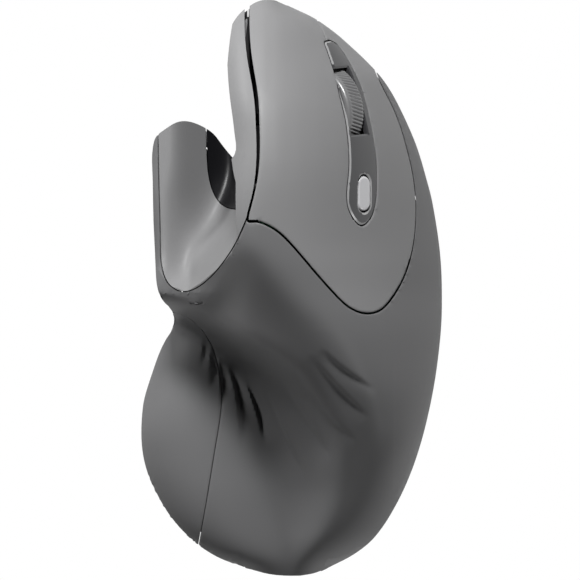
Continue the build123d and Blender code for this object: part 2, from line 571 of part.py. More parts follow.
# Main board and what sits on it.
board_plan = [(-4.2, -14), (24, -14), (24, -2), (22.3, 8), (18.5, 28), (12, 38.5), (5.0, 45.5), (5.0, 49.2),
              (-2.2, 49.2), (-2.2, 43), (-4.2, 40)]
board = Solid.extrude(Face(Wire.make_polygon([Vector(a, b, main_board_z) for a, b in board_plan], close=True)),
                      Vector(0, 0, board_thick))
for x, y in board_screw_spots:
    board = board - rod(1.0, 0, 20, x, y)
nodes["main_board"] = board
board_face = main_board_z + board_thick
nodes["board_screws"] = Compound([
    rod(1.7, board_face, board_face + 1.1, x, y) + rod(0.8, 3.6, board_face + 0.5, x, y)
    for x, y in board_screw_spots])
nodes["optical_sensor"] = box(-1, 9, 3, 21, 4.6, main_board_z)
nodes["sensor_lens"] = (box(-2.5, 10.5, 1.5, 22.5, base_top, 3.4) + box(0, 8, 6, 18, 1.4, base_top)
                        + box(0, 8, 8, 16, 3.4, 4.6))
usb = box(-4.4, 4.4, 45.5, 53.0, board_face, board_face + 3.2)
nodes["usb_port"] = usb - box(-4.0, 4.0, 47.5, 60, board_face + 0.4, board_face + 2.8)
nodes["battery_pack"] = box(-3.5, 15.5, -46, -16.5, base_top, base_top + 5.4)
slider = (box(-1.45, 1.45, -1.45, 1.45, 0.75, base_top + 0.1) + box(-2.8, 2.8, -2.8, 2.8, base_top + 0.06, base_top + 0.8)
          + box(-0.6, 0.6, -0.6, 0.6, base_top + 0.7, 4.2))
nodes["power_slider"] = slider.moved(Location((slider_x, slider_y - 1.2, 0)))
power = box(-3.6, 3.6, -4.5, 4.5, base_top + 1.0, main_board_z) - box(-1.0, 1.0, -2.8, 2.8, 0, 4.6)
nodes["power_switch_body"] = power.moved(Location((slider_x, slider_y, 0)))

# Board under the keys, hung from two bosses of the bridge, with a notch for the wheel.
low_face = board_top - board_thick
key_board = box(-15, 14, -19, 12, low_face, board_top)
key_board = key_board - box(-7.2, 8.2, 2.6, 40, -20, 0)
for spot in bridge_bosses:
    key_board = key_board - rod(1.0, -20, 0, *spot)
nodes["key_board"] = in_frame(key_frame, key_board)
nodes["key_board_screws"] = Compound([
    in_frame(key_frame, rod(1.7, low_face - 1.1, low_face, *spot) + rod(0.8, low_face - 0.5, board_top + 4.6, *spot))
    for spot in bridge_bosses])
for name, post in (("left_switch", "left_button"), ("right_switch", "right_button")):
    u, v = key_posts[post]
    body = box(u - 2.7, u + 2.7, v - 8.6, v + 2.6, board_top, board_top + 3.5)
    nodes[name] = in_frame(key_frame, body + rod(0.8, board_top + 3.4, board_top + 4.1, u, v))
u, v = dpi_local
nodes["dpi_switch"] = in_frame(key_frame, box(u - 2.2, u + 2.2, v - 2.2, v + 2.2, board_top, board_top + 3.0)
                               + rod(0.9, board_top + 2.9, board_top + 3.6, u, v))

nodes["middle_switch"] = in_frame(key_frame, box(-0.6, 3.0, -0.4, 2.4, board_top, board_top + 1.6)
                                  + rod(0.6, board_top + 1.5, board_top + 1.9, 1.2, 1.0))

# Wheel, its sprung cradle and the encoder.
ribs = 40
rib_depth = 0.5
tyre_points = []
for k in range(ribs):
    for share, r in ((0.0, wheel_radius), (0.5, wheel_radius), (0.62, wheel_radius - rib_depth),
                     (0.88, wheel_radius - rib_depth)):
        a = 2 * math.pi * (k + share) / ribs
        tyre_points.append(Vector(r * math.cos(a), r * math.sin(a), -wheel_width / 2))
tyre = Solid.extrude(Face(Wire.make_polygon(tyre_points, close=True)), Vector(0, 0, wheel_width))
tyre_seat = wheel_radius - 2.2
tyre = tyre - rod(tyre_seat, -10, 10)
core = rod(tyre_seat, -wheel_width / 2 + 0.1, wheel_width / 2 - 0.1) - rod(5.6, 1.2, 10) - rod(5.6, -10, -1.2)
core = core + rod(2.4, -wheel_width / 2 - 0.5, wheel_width / 2 + 0.5)
axle_radius = 1.4
axle_half = 5.2
axle = rod(axle_radius, -axle_half, axle_half)
core = core - rod(axle_radius, -10, 10)
nodes["wheel_tyre"] = in_frame(axle_frame, tyre)
nodes["wheel_core"] = in_frame(axle_frame, core)
nodes["wheel_axle"] = in_frame(axle_frame, axle)
arm_in = wheel_width / 2 + 0.9
arm_out = arm_in + 1.2
cradle = box(-arm_out, arm_out, -5, 5, -wheel_radius - 1.5, 3.2) - box(-arm_in, arm_in, -20, 20, -wheel_radius - 0.8, 20)
cradle = cradle - Solid.make_cylinder(axle_radius + 0.05, 40).moved(Location((-20, 0, 0), (0, 1, 0), 90))
tongue = box(-arm_out, arm_out, -14.0, -11.6, -1.9, -0.7)
links = box(-arm_out, -arm_in, -14.0, -4.9, -1.9, 0.9) + box(arm_in, arm_out, -14.0, -4.9, -1.9, 0.9)
nodes["wheel_cradle"] = in_frame(wheel_frame, cradle + tongue + links)
nodes["encoder"] = in_frame(wheel_frame, box(arm_out, arm_out + 2.6, -3.2, 3.2, -4.5, 3.0)
                            - Solid.make_cylinder(axle_radius + 0.3, 3).moved(Location((arm_out - 1, 0, 0), (0, 1, 0), 90)))

os.makedirs("parts", exist_ok=True)
for name, shape in nodes.items():
    solids = shape.solids()
    if len(solids) > 1 and name not in ("side_switches", "base_screws", "board_screws", "glide_feet",
                                        "key_board_screws"):
        shape = max(solids, key=lambda k: k.volume)
    elif len(solids) == 1:
        shape = solids[0]
    shape.label = name
    export_step(shape, os.path.join("parts", name + ".step"))
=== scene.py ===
import bpy
import bmesh
import json
import math
import numpy as np
from mathutils import Matrix, Vector
from mathutils.kdtree import KDTree


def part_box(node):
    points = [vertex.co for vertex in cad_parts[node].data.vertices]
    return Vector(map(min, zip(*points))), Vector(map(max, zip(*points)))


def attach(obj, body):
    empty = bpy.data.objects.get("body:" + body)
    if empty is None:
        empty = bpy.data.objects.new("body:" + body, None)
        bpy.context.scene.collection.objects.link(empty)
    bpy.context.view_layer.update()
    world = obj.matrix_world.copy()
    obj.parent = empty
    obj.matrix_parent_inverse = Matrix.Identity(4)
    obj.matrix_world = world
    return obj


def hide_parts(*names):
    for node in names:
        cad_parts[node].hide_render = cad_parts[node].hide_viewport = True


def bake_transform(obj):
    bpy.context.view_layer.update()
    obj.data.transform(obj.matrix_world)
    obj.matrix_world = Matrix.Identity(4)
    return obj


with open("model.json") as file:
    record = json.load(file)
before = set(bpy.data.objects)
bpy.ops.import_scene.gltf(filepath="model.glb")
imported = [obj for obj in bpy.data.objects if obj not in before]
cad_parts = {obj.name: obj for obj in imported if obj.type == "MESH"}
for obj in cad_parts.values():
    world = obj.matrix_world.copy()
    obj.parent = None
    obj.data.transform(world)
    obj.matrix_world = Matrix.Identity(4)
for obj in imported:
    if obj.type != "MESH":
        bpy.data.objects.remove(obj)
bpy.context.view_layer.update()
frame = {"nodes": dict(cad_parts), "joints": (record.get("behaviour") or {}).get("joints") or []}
nodes = frame["nodes"]
print("frame loaded:", len(nodes), "nodes")

mm = 0.001


def newMaterial(name, colour, rough, specular=0.5, metallic=0.0):
    mat = bpy.data.materials.new(name)
    mat.use_nodes = True
    shader = mat.node_tree.nodes["Principled BSDF"]
    shader.inputs["Base Color"].default_value = (*colour, 1)
    shader.inputs["Roughness"].default_value = rough
    shader.inputs["Specular IOR Level"].default_value = specular
    shader.inputs["Metallic"].default_value = metallic
    return mat, shader


def addGrain(mat, shader, size, depth):  # fine moulded grain on object coordinates
    tree = mat.node_tree
    coords = tree.nodes.new("ShaderNodeTexCoord")
    noise = tree.nodes.new("ShaderNodeTexNoise")
    noise.inputs["Scale"].default_value = 1 / size
    bump = tree.nodes.new("ShaderNodeBump")
    bump.inputs["Distance"].default_value = depth
    tree.links.new(coords.outputs["Object"], noise.inputs["Vector"])
    tree.links.new(noise.outputs["Fac"], bump.inputs["Height"])
    tree.links.new(bump.outputs["Normal"], shader.inputs["Normal"])


# Finish of each material: linear colours, grain size and depth in metres.
finishes = {
    "softShell": dict(colour=(0.11, 0.11, 0.112), rough=0.5, specular=0.16,
                      grain=0.25 * mm, depth=0.003 * mm),
    "softKey": dict(colour=(0.16, 0.16, 0.162), rough=0.48, specular=0.2,
                    grain=0.25 * mm, depth=0.003 * mm),
    # near-black bezel: partly the real black trim, partly painted shade of the deep pocket under the
    # ridge
    "blackBezelAndPaintedShade": dict(colour=(0.006, 0.006, 0.007), rough=0.4, specular=0.3),
    "stripTrim": dict(colour=(0.03, 0.03, 0.032), rough=0.28, specular=0.5),
    # chamfer rim: a glossier finish, with its colour painted lighter than the strip as a painted
    # highlight
    "glossyRimAndPaintedHighlight": dict(colour=(0.22, 0.22, 0.222), rough=0.25, specular=0.8),
    "satinButton": dict(colour=(0.42, 0.42, 0.43), rough=0.32, metallic=0.2, specular=0.5),
    "sideButton": dict(colour=(0.02, 0.02, 0.022), rough=0.35, specular=0.5),
    "tyreRubber": dict(colour=(0.12, 0.12, 0.122), rough=0.32, specular=0.7),
    "hubPlastic": dict(colour=(0.03, 0.03, 0.033), rough=0.35, specular=0.5),
    "basePlastic": dict(colour=(0.028, 0.028, 0.031), rough=0.6, specular=0.4,
                        grain=0.4 * mm, depth=0.01 * mm),
    "footPad": dict(colour=(0.72, 0.72, 0.7), rough=0.45, specular=0.4),
    "boardGreen": dict(colour=(0.02, 0.12, 0.05), rough=0.4),
    "chipBlack": dict(colour=(0.02, 0.02, 0.02), rough=0.5),
    "brightMetal": dict(colour=(0.6, 0.6, 0.62), rough=0.3, metallic=1.0),
    "foilWrap": dict(colour=(0.35, 0.37, 0.4), rough=0.3, metallic=0.6),
}
materials = {}
for name, look in finishes.items():
    mat, shader = newMaterial(name, look["colour"], look["rough"], look.get("specular", 0.5),
                              look.get("metallic", 0.0))
    if "grain" in look:
        addGrain(mat, shader, look["grain"], look["depth"])
    materials[name] = mat
lens, lensShader = newMaterial("clearLens", (0.9, 0.92, 0.95), 0.05)
lensShader.inputs["Transmission Weight"].default_value = 0.9
materials["clearLens"] = lens

# What each node wears; the nodes that skins stand in for are not listed.
wears = {
    # the bezel's near-black colour is partly painted shade of the pocket under the ridge
    "blackBezelAndPaintedShade": ["side_button_bezel"],
    "sideButton": ["back_button", "forward_button", "power_slider"],
    "hubPlastic": ["wheel_core", "wheel_cradle"],
    "basePlastic": ["base_plate"],
    "footPad": ["glide_feet"],
    "boardGreen": ["main_board", "key_board", "side_switch_board"],
    "chipBlack": ["optical_sensor", "side_switches", "left_switch", "right_switch", "middle_switch",
                  "dpi_switch", "power_switch_body", "encoder"],
    "brightMetal": ["wheel_axle", "base_screws", "board_screws", "key_board_screws", "usb_port"],
    "foilWrap": ["battery_pack"],
    "clearLens": ["sensor_lens"],
}
nodeCare = {"weld": 0.002 * mm, "crease": math.radians(32)}


def wear(obj, finish):
    obj.data.materials.clear()
    obj.data.materials.append(materials[finish])


def smoothNode(obj):  # loose triangles are welded and shaded smooth up to the crease angle
    for face in obj.data.polygons:
        face.use_smooth = True
    merge = obj.modifiers.new("weld", "WELD")
    merge.merge_threshold = nodeCare["weld"]
    split = obj.modifiers.new("crease", "EDGE_SPLIT")
    split.split_angle = nodeCare["crease"]


for finish, names in wears.items():
    for name in names:
        wear(nodes[name], finish)
        smoothNode(nodes[name])
print("nodes dressed")

# The hand side as a height over the plan, from stations along Y (rim and drop: along X). Millimetres.
handForm = {
    "crestX": [(64, -5), (54, -6.6), (46, -7.3), (30, -6.3), (16, -7.4), (10, -7), (4, -3.7),
               (-8, 6.2), (-15, 10.8), (-24, 15.8), (-33, 17.8), (-39, 16.3), (-46, 13.2),
               (-52, 8.9), (-60, 0)],
    "crestZ": [(64, 45), (60, 50), (54, 56.5), (47, 61), (35, 66.5), (23, 68), (10, 66.5),
               (-2, 61.5), (-15, 53.5), (-27, 43), (-39, 31.5), (-52, 18.5), (-60, 7), (-64, 2)],
    "rightX": [(64, -3.5), (60, -3.3), (58.7, 0), (55, 6.8), (49.6, 13), (44.4, 18.6), (38, 22.3),
               (29, 26.3), (17, 29.6), (4, 31.2), (-5, 31.2), (-15, 30.4), (-27, 28.1),
               (-39, 24.4), (-46, 21.5), (-52, 17.6), (-57, 10), (-60, 4), (-64, 3)],
    "rightZ": [(64, 45), (60, 48), (55, 43), (50, 38), (44, 32), (41, 28.5), (35, 23), (29, 18),
               (23, 14), (16, 11), (4, 8), (-2, 7), (-60, 6), (-64, 3)],
    "leftX": [(64, -28), (-2, -26.3), (-5, -24.8), (-8.4, -25.7), (-15, -28.1), (-21, -30),
              (-30, -31.2), (-36, -30.4), (-42.5, -28.1), (-49, -24.2), (-55, -17.4),
              (-58, -11.2), (-60, -5), (-64, -4)],
    "valleyX": [(64, -47), (-1.3, -47), (-2.2, -40), (-4.2, -27), (-6.7, -21), (-11.7, -15.5),
                (-19.8, -10.3), (-33, -6.6), (-48, -3.7), (-64, 0)],
    "shoulderX": [(64, -41), (-1.3, -41), (-2.2, -34), (-4.2, -21), (-6.7, -14), (-11.7, -5.2),
                  (-19.8, 5.2), (-26, 9.7), (-33, 12), (-40.5, 12), (-48, 9.7), (-55, 5.2),
                  (-64, 2)],
    "lipX": [(64, -31), (-2, -30), (-23, -29), (-64, -18.6)],
    "lipZ": [(64, 29), (35, 30), (-2, 32), (-10.5, 33), (-27, 25), (-43.5, 15), (-64, 3)],
    "flangeZ": [(64, 13), (-4, 13), (-23, 14), (-39.5, 12.5), (-52, 9.5), (-59, 6.5), (-64, 3)],
    "rimEdge": [(-34, 6), (-26.1, -1.9), (-24.7, -3.2), (-23, -3.7), (-20.9, -3.6), (-18.3, -2.6),
                (-15.6, -0.9), (-13.1, 1.9), (-11, 5.5), (-9.5, 10), (-8.6, 16)],
    "rimDrop": [(-27, 0), (-24, 1.5), (-22, 3.6), (-17, 4.2), (-14, 3.2), (-11, 1.4), (-8.8, 0)],
    "dropRun": 2.2,
    "steepFoot": (-8.0, -17.0),
    "steepRound": 2.2,
    "flangeWidth": 13.6,
    "flangeRun": 1.6,
    "flangeRound": 2.2,
    "flangeFall": 2.0,  # mm down per mm past the rim
    "flankRun": 2.5,
    "flankDrop": 9.0,
    "flankRound": (1.9, 0.62),
    "flankFall": 2.6,
    "narrowest": 0.5,
    "lowest": -30,
    "softRadius": 1.4,
    "gridStep": 0.4,
    "halfPlan": (38, 68),
}

# Pleats fanning out of the valley: three points each on the plan, the lower side and the depth.
pleats = {
    "lines": [
        ((6.7, -12.0), (10.8, -16.1), (18.1, -20.7), -1, 0.7),
        ((4.2, -13.2), (10.2, -20.5), (16.5, -26.2), -1, 0.9),
        ((0.8, -15.8), (6.4, -24.0), (14.0, -31.3), -1, 1.0),
        ((-2.5, -16.7), (2.6, -25.6), (8.9, -35.1), -1, 1.1),
        ((-4.7, -20.8), (-1.2, -29.7), (3.1, -38.6), -1, 0.9),
        ((-10.1, -17.0), (-7.2, -24.3), (-5.3, -32.2), 1, 0.9),
        ((-13.2, -15.8), (-11.2, -21.5), (-10.1, -32.9), 1, 0.9),
        ((-14.8, -14.5), (-14.4, -18.6), (-14.5, -24.9), 1, 0.7),
        ((-16.8, -12.0), (-16.2, -15.8), (-16.8, -20.8), 1, 0.5),
        ((-18.3, -9.4), (-18.0, -12.3), (-19.0, -16.4), 1, 0.35),
    ],
    "strength": 1.7,
    "fade": 2.4,
    "step": 1.0,
    "swell": 1.3,
    "overrun": 0.06,
    "samples": 57,
}


def smoothCurve(stations):  # a curve through its stations that never overshoots
    pts = sorted(stations)
    place = np.array([s[0] for s in pts], float)
    value = np.array([s[1] for s in pts], float)
    gap = np.diff(place)
    slope = np.diff(value) / gap
    tangent = np.zeros(len(place))
    for i in range(1, len(place) - 1):
        if slope[i - 1] * slope[i] > 0:
            w1 = 2 * gap[i] + gap[i - 1]
            w2 = gap[i] + 2 * gap[i - 1]
            tangent[i] = (w1 + w2) / (w1 / slope[i - 1] + w2 / slope[i])
    tangent[0] = slope[0]
    tangent[-1] = slope[-1]

    def curve(at):
        a = np.clip(np.asarray(at, float), place[0], place[-1])
        i = np.clip(np.searchsorted(place, a, side="right") - 1, 0, len(place) - 2)
        t = (a - place[i]) / gap[i]
        return ((1 + 2 * t) * (1 - t) ** 2 * value[i] + t * (1 - t) ** 2 * gap[i] * tangent[i]
                + t * t * (3 - 2 * t) * value[i + 1] + t * t * (t - 1) * gap[i] * tangent[i + 1])

    return curve


def easeStep(t):
    t = np.clip(t, 0, 1)
    return t * t * (3 - 2 * t)


def rawHeight(x, y):
    line = {key: smoothCurve(value) for key, value in handForm.items() if isinstance(value, list)}
    xc = line["crestX"](y)
    zc = line["crestZ"](y)
    xr = line["rightX"](y) + handForm["flankRun"]
    zr = line["rightZ"](y) - handForm["flankDrop"]
    t = np.clip((x - xc) / np.maximum(xr - xc, handForm["narrowest"]), 0, 1)
    bulge, full = handForm["flankRound"]
    right = zr + (zc - zr) * (1 - t ** bulge) ** full - handForm["flankFall"] * np.maximum(x - xr, 0)
    zl = line["lipZ"](y)
    s = np.clip((xc - x) / (xc - line["lipX"](y)), 0, 1)
    slope = zl + (zc - zl) * 0.5 * (1 + np.cos(np.pi * s))
    steepness = line["rimEdge"](x + 0.5) - line["rimEdge"](x - 0.5)
    past = np.maximum(line["rimEdge"](x) - y, 0) / np.sqrt(1 + steepness ** 2)
    slope = slope - line["rimDrop"](x) * (1 - np.exp(-past / handForm["dropRun"]))
    e = (x - line["leftX"](y) + handForm["flangeRun"]) / handForm["flangeWidth"]
    flange = line["flangeZ"](y) * np.sqrt(1 - (1 - np.clip(e, 0, 1)) ** handForm["flangeRound"])
    flange = flange + handForm["flangeFall"] * np.minimum(e * handForm["flangeWidth"], 0)
    t = np.clip((x - line["valleyX"](y)) / (line["shoulderX"](y) - line["valleyX"](y)), 0, 1)
    foot, heel = handForm["steepFoot"]
    steep = easeStep((y - heel) / (foot - heel))
    m = easeStep(t) * (1 - steep) + (1 - (1 - t) ** handForm["steepRound"]) * steep
    left = flange + (slope - flange) * m
    return np.maximum(np.where(x >= xc, right, left), handForm["lowest"])


def softened(field, radius, spacing):  # rounds a height field off, one axis after the other
    reach = int(3 * radius / spacing)
    k = np.exp(-0.5 * (np.arange(-reach, reach + 1) * spacing / radius) ** 2)
    k /= k.sum()
    for axis in (0, 1):
        pad = [(reach, reach) if a == axis else (0, 0) for a in (0, 1)]
        field = np.pad(field, pad, "edge")
        field = np.apply_along_axis(lambda row: np.convolve(row, k, mode="valid"), axis, field)
    return field


handXs, handYs = (np.arange(-half, half + 0.01, handForm["gridStep"]) for half in handForm["halfPlan"])
handField = softened(rawHeight(*np.meshgrid(handXs, handYs, indexing="ij")),
                     handForm["softRadius"], handForm["gridStep"])


def cubicShare(t):  # weights of the four grid lines round a point
    return (0.5 * (-t + 2 * t * t - t ** 3), 0.5 * (2 - 5 * t * t + 3 * t ** 3),
            0.5 * (t + 4 * t * t - 3 * t ** 3), 0.5 * (t ** 3 - t * t))


def heightAt(x, y):  # height of the hand side over plan points, all in mm
    i = np.clip((np.asarray(x) - handXs[0]) / handForm["gridStep"], 1, len(handXs) - 3)
    j = np.clip((np.asarray(y) - handYs[0]) / handForm["gridStep"], 1, len(handYs) - 3)
    i0 = np.floor(i).astype(int)
    j0 = np.floor(j).astype(int)
    across = cubicShare(i - i0)
    along = cubicShare(j - j0)
    return sum(across[a] * along[b] * handField[i0 + a - 1, j0 + b - 1]
               for a in range(4) for b in range(4))


def pleatDepth(x, y):  # how far the pleats press the skin in
    depth = np.zeros(np.shape(x))
    for start, mid, end, side, deep in pleats["lines"]:
        bend = [2 * m - (s + e) / 2 for s, m, e in zip(start, mid, end)]
        t = np.linspace(-pleats["overrun"], 1 + pleats["overrun"], pleats["samples"])
        lineX = (1 - t) ** 2 * start[0] + 2 * t * (1 - t) * bend[0] + t * t * end[0]
        lineY = (1 - t) ** 2 * start[1] + 2 * t * (1 - t) * bend[1] + t * t * end[1]
        away = np.hypot(x[:, None] - lineX, y[:, None] - lineY)
        near = away.argmin(axis=1)
        aheadX = np.gradient(lineX)[near]
        aheadY = np.gradient(lineY)[near]
        offX = x - lineX[near]
        offY = y - lineY[near]
        size = np.hypot(aheadX, aheadY)
        d = side * (offY * aheadX - offX * aheadY) / size  # positive on the lower side
        swell = np.sin(np.pi * np.clip(t[near], 0, 1)) ** pleats["swell"]
        press = np.exp(-np.maximum(d, 0) / pleats["fade"]) * easeStep(d / pleats["step"] + 0.5)
        depth = depth + pleats["strength"] * deep * swell * press
    return depth


# Skins: the hand side of a casing is rebuilt on an even grid. Millimetres, degrees for creases.
skinGrid = {
    "spacing": 0.8,
    "merge": 0.004,
    "crease": 30,
    "reach": 1.4,  # how far a face may lie off the hand side and still belong to it
    "alike": 0.85,  # least agreement of its direction with the hand side
    "steepest": 0.22,
    "facingUp": 0.05,
    "wing": (-12.0, -1.0),  # left of and in front of this corner the casing stays as it is
    "foot": (-7.0, -19.0),  # left of and in front of this one, steep faces belong to it too
    "footReach": 3.0,
    "footAlike": 0.2,
    "seamStep": 0.03,
    "seamNear": 0.5,
    "seamCuts": 3,
    "shortest": 0.3,
    "rollWide": 0.32,
    "rollDeep": 0.15,
    "pleatArea": ((-21.6, -41.6), (21.6, -8.0)),
    "probe": 0.1,
}
tiny = 1e-8  # metres


def normalAt(x, y):  # upward direction of the hand side
    d = skinGrid["probe"]
    slope = np.stack([heightAt(x - d, y) - heightAt(x + d, y), heightAt(x, y - d) - heightAt(x, y + d),
                      np.full(len(x), 2 * d)], axis=1)
    return slope / np.linalg.norm(slope, axis=1)[:, None]


def topFaces(bm):  # the faces that lie on the hand side and face the same way
    upward = [face for face in bm.faces if face.normal.z > skinGrid["facingUp"]]
    mids = np.array([face.calc_center_median() for face in upward]) / mm
    faced = np.array([face.normal for face in upward])
    x, y = mids[:, 0], mids[:, 1]
    off = np.abs(heightAt(x, y) - mids[:, 2]) * faced[:, 2]
    along = (normalAt(x, y) * faced).sum(axis=1)
    wing = (x < skinGrid["wing"][0]) & (y > skinGrid["wing"][1])
    foot = (x < skinGrid["foot"][0]) & (y > skinGrid["foot"][1])
    loose = (off < skinGrid["footReach"]) & (along > skinGrid["footAlike"])
    strict = ((off < skinGrid["reach"]) & (along > skinGrid["alike"])
              & (faced[:, 2] > skinGrid["steepest"]))
    return [face for face, keep in zip(upward, np.where(foot, loose, strict) & ~wing) if keep]


def sliced(bm, faces, axis, cuts):  # cuts faces along parallel planes, halving the run each time
    if not cuts or not faces:
        return faces
    half = len(cuts) // 2
    cut = cuts[half] * mm
    crossing, below, above = [], [], []
    for face in faces:
        span = [vert.co[axis] for vert in face.verts]
        if max(span) <= cut + tiny:
            below.append(face)
        elif min(span) >= cut - tiny:
            above.append(face)
        else:
            crossing.append(face)
    if crossing:
        edges = list({edge for face in crossing for edge in face.edges})
        verts = list({vert for face in crossing for vert in face.verts})
        place = [cut if axis == k else 0.0 for k in range(3)]
        normal = [1.0 if axis == k else 0.0 for k in range(3)]
        out = bmesh.ops.bisect_plane(bm, geom=crossing + edges + verts, dist=tiny,
                                     plane_co=place, plane_no=normal)
        for item in out["geom"]:
            if isinstance(item, bmesh.types.BMFace):
                (below if item.calc_center_median()[axis] < cut else above).append(item)
    return sliced(bm, below, axis, cuts[:half]) + sliced(bm, above, axis, cuts[half + 1:])


def gridCuts(low, high, spacing):
    return [k * spacing for k in range(math.ceil(low / spacing), int(high / spacing) + 1)]


def seamTree(tops, skip):  # points along the creased border of the hand side
    inside = set(tops)
    crease = math.radians(skinGrid["crease"])
    points = []
    for face in tops:
        for edge in face.edges:
            within = all(other in inside for other in edge.link_faces)
            if len(edge.link_faces) > 1 and (within or edge.calc_face_angle(math.pi) < crease):
                continue
            a, b = (vert.co.copy() for vert in edge.verts)
            if skip((a + b) / 2 / mm):
                continue
            steps = max(1, int((b - a).length / (skinGrid["seamStep"] * mm)))
            points += [a.lerp(b, k / steps) for k in range(steps + 1)]
    tree = KDTree(len(points))
    for k, point in enumerate(points):
        tree.insert(point, k)
    tree.balance()
    return tree


def weld(bm, reach=skinGrid["merge"]):
    bmesh.ops.remove_doubles(bm, verts=bm.verts, dist=reach * mm)


def denseSkin(bm, skip=lambda point: False):  # even grid, true surface, pleats and rolled seams
    weld(bm)
    old = bm.edges.layers.int.new("old")
    top = bm.faces.layers.int.new("top")
    tops = topFaces(bm)
    inside = set(tops)
    for face in tops:
        face[top] = 1
        for edge in face.edges:
            if len(edge.link_faces) == 2 and all(other in inside for other in edge.link_faces):
                edge[old] = 1
    for axis in (0, 1):
        span = [vert.co[axis] / mm for face in tops for vert in face.verts]
        tops = sliced(bm, tops, axis, gridCuts(min(span), max(span), skinGrid["spacing"]))
    bmesh.ops.dissolve_edges(bm, edges=[edge for edge in bm.edges if edge[old]], use_verts=True)
    tops = [face for face in bm.faces if face[top]]
    tree = seamTree(tops, skip)
    (x0, y0), (x1, y1) = skinGrid["pleatArea"]
    atSeam, pleated = [], []
    for face in tops:
        mid = face.calc_center_median()
        if tree.find(mid)[2] < (skinGrid["seamNear"] + skinGrid["spacing"] / 2) * mm:
            atSeam.append(face)
        elif x0 < mid.x / mm < x1 and y0 < mid.y / mm < y1:
            pleated.append(face)
    pleatEdges = list({edge for face in pleated for edge in face.edges}
                      - {edge for face in atSeam for edge in face.edges})
    bmesh.ops.subdivide_edges(bm, edges=pleatEdges, cuts=1, use_grid_fill=True)
    bmesh.ops.triangulate(bm, faces=[face for face in atSeam if face.is_valid and len(face.verts) > 4])
    atSeam = [face for face in bm.faces if face[top]
              and tree.find(face.calc_center_median())[2] < skinGrid["seamNear"] * mm]
    seamEdges = list({edge for face in atSeam for edge in face.edges
                      if edge.calc_length() > skinGrid["shortest"] * mm})
    bmesh.ops.subdivide_edges(bm, edges=seamEdges, cuts=skinGrid["seamCuts"], use_grid_fill=True)
    verts = list({vert for face in bm.faces if face[top] for vert in face.verts})
    x, y, z = (np.array([vert.co[k] for vert in verts]) / mm for k in range(3))
    level = heightAt(x, y) - pleatDepth(x, y)
    away = np.array([tree.find(vert.co)[2] for vert in verts]) / mm
    sink = skinGrid["rollDeep"] * np.clip(1 - away / skinGrid["rollWide"], 0, 1) ** 2
    place = np.stack([x, y, level], axis=1) - normalAt(x, y) * sink[:, None]
    for vert, point in zip(verts, place):
        vert.co = Vector(point) * mm


def loaded(name):  # a copy of a node's mesh, its triangles still loose
    bm = bmesh.new()
    bm.from_mesh(nodes[name].data)
    return bm


def addPiece(name, bm, finish, crease, rimFinish=None):
    mesh = bpy.data.meshes.new(name)
    mesh.materials.append(materials[finish])
    if rimFinish:
        mesh.materials.append(materials[rimFinish])
    bm.to_mesh(mesh)
    bm.free()
    for face in mesh.polygons:
        face.use_smooth = True
    obj = bpy.data.objects.new(name, mesh)
    bpy.context.scene.collection.objects.link(obj)
    split = obj.modifiers.new("crease", "EDGE_SPLIT")
    split.split_angle = math.radians(crease)
    weighted = obj.modifiers.new("even shading", "WEIGHTED_NORMAL")
    weighted.keep_sharp = True
    print(name, "has", len(mesh.polygons), "faces")
    return obj


for name, node in (("shellSkin", "main_shell"), ("skirtSkin", "side_skirt")):
    mesh = loaded(node)
    denseSkin(mesh)
    skin = addPiece(name, mesh, "softShell", skinGrid["crease"])
    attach(skin, "housing")
    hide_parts(node)

# Thumb panel: the lip over the scoop is trimmed to a line, which slants at its rear end. Millimetres.
lipTrim = {"y": (27.0, 31.5), "z": 54.0, "inner": -13.0, "edge": -11.1, "corner": 28.3, "lean": 0.6}


def thumbSkin():
    bm = loaded("thumb_panel")
    weld(bm)
    back, front = lipTrim["y"]
    for vert in bm.verts:
        x, y, z = vert.co / mm
        limit = lipTrim["edge"] - max(0.0, lipTrim["corner"] - y) * lipTrim["lean"]
        if back < y < front and z > lipTrim["z"] and lipTrim["inner"] < x < limit:
            vert.co.x = limit * mm
    return bm


thumbPiece = addPiece("thumbSkin", thumbSkin(), "softKey", skinGrid["crease"])
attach(thumbPiece, "housing")
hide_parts("thumb_panel")

# Each key and its half of the plate behind it make one skin, joined along the key's root.
keySkins = {"rootY": 14.4, "gap": 0.4, "halfX": 15.2, "bendFrom": 10.5, "bendTo": 19.0,
            "join": 0.05, "weld": 0.02}


def keySkin(key, left):
    plate = loaded("button_bridge")
    weld(plate)
    bmesh.ops.bisect_plane(plate, geom=plate.verts[:] + plate.edges[:] + plate.faces[:], dist=10 * tiny,
                           plane_co=(keySkins["halfX"] * mm, 0, 0), plane_no=(1, 0, 0),
                           clear_outer=left, clear_inner=not left)
    half = bpy.data.meshes.new("half")
    plate.to_mesh(half)
    plate.free()
    bm = loaded(key)
    bm.from_mesh(half)
    weld(bm)
    root = keySkins["rootY"] * mm
    near = keySkins["gap"] / 2 * mm
    walls = [face for face in bm.faces if all(abs(vert.co.y - root) < near for vert in face.verts)]
    for vert in {vert for face in walls for vert in face.verts}:
        vert.co.y = root
    bmesh.ops.delete(bm, geom=walls, context="FACES_ONLY")

    def atJoin(point):  # the root and the middle of the plate are no seams
        off = min(abs(point.y - keySkins["rootY"]), abs(point.x - keySkins["halfX"]))
        return off < keySkins["join"]

    denseSkin(bm, atJoin)
    weld(bm, keySkins["weld"])
    return bm


for name, key, body in (("leftKeySkin", "left_button", "left_key"),
                        ("rightKeySkin", "right_button", "right_key")):
    skin = addPiece(name, keySkin(key, body == "left_key"), "softKey", skinGrid["crease"])
    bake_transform(skin)
    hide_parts(key, "button_bridge")

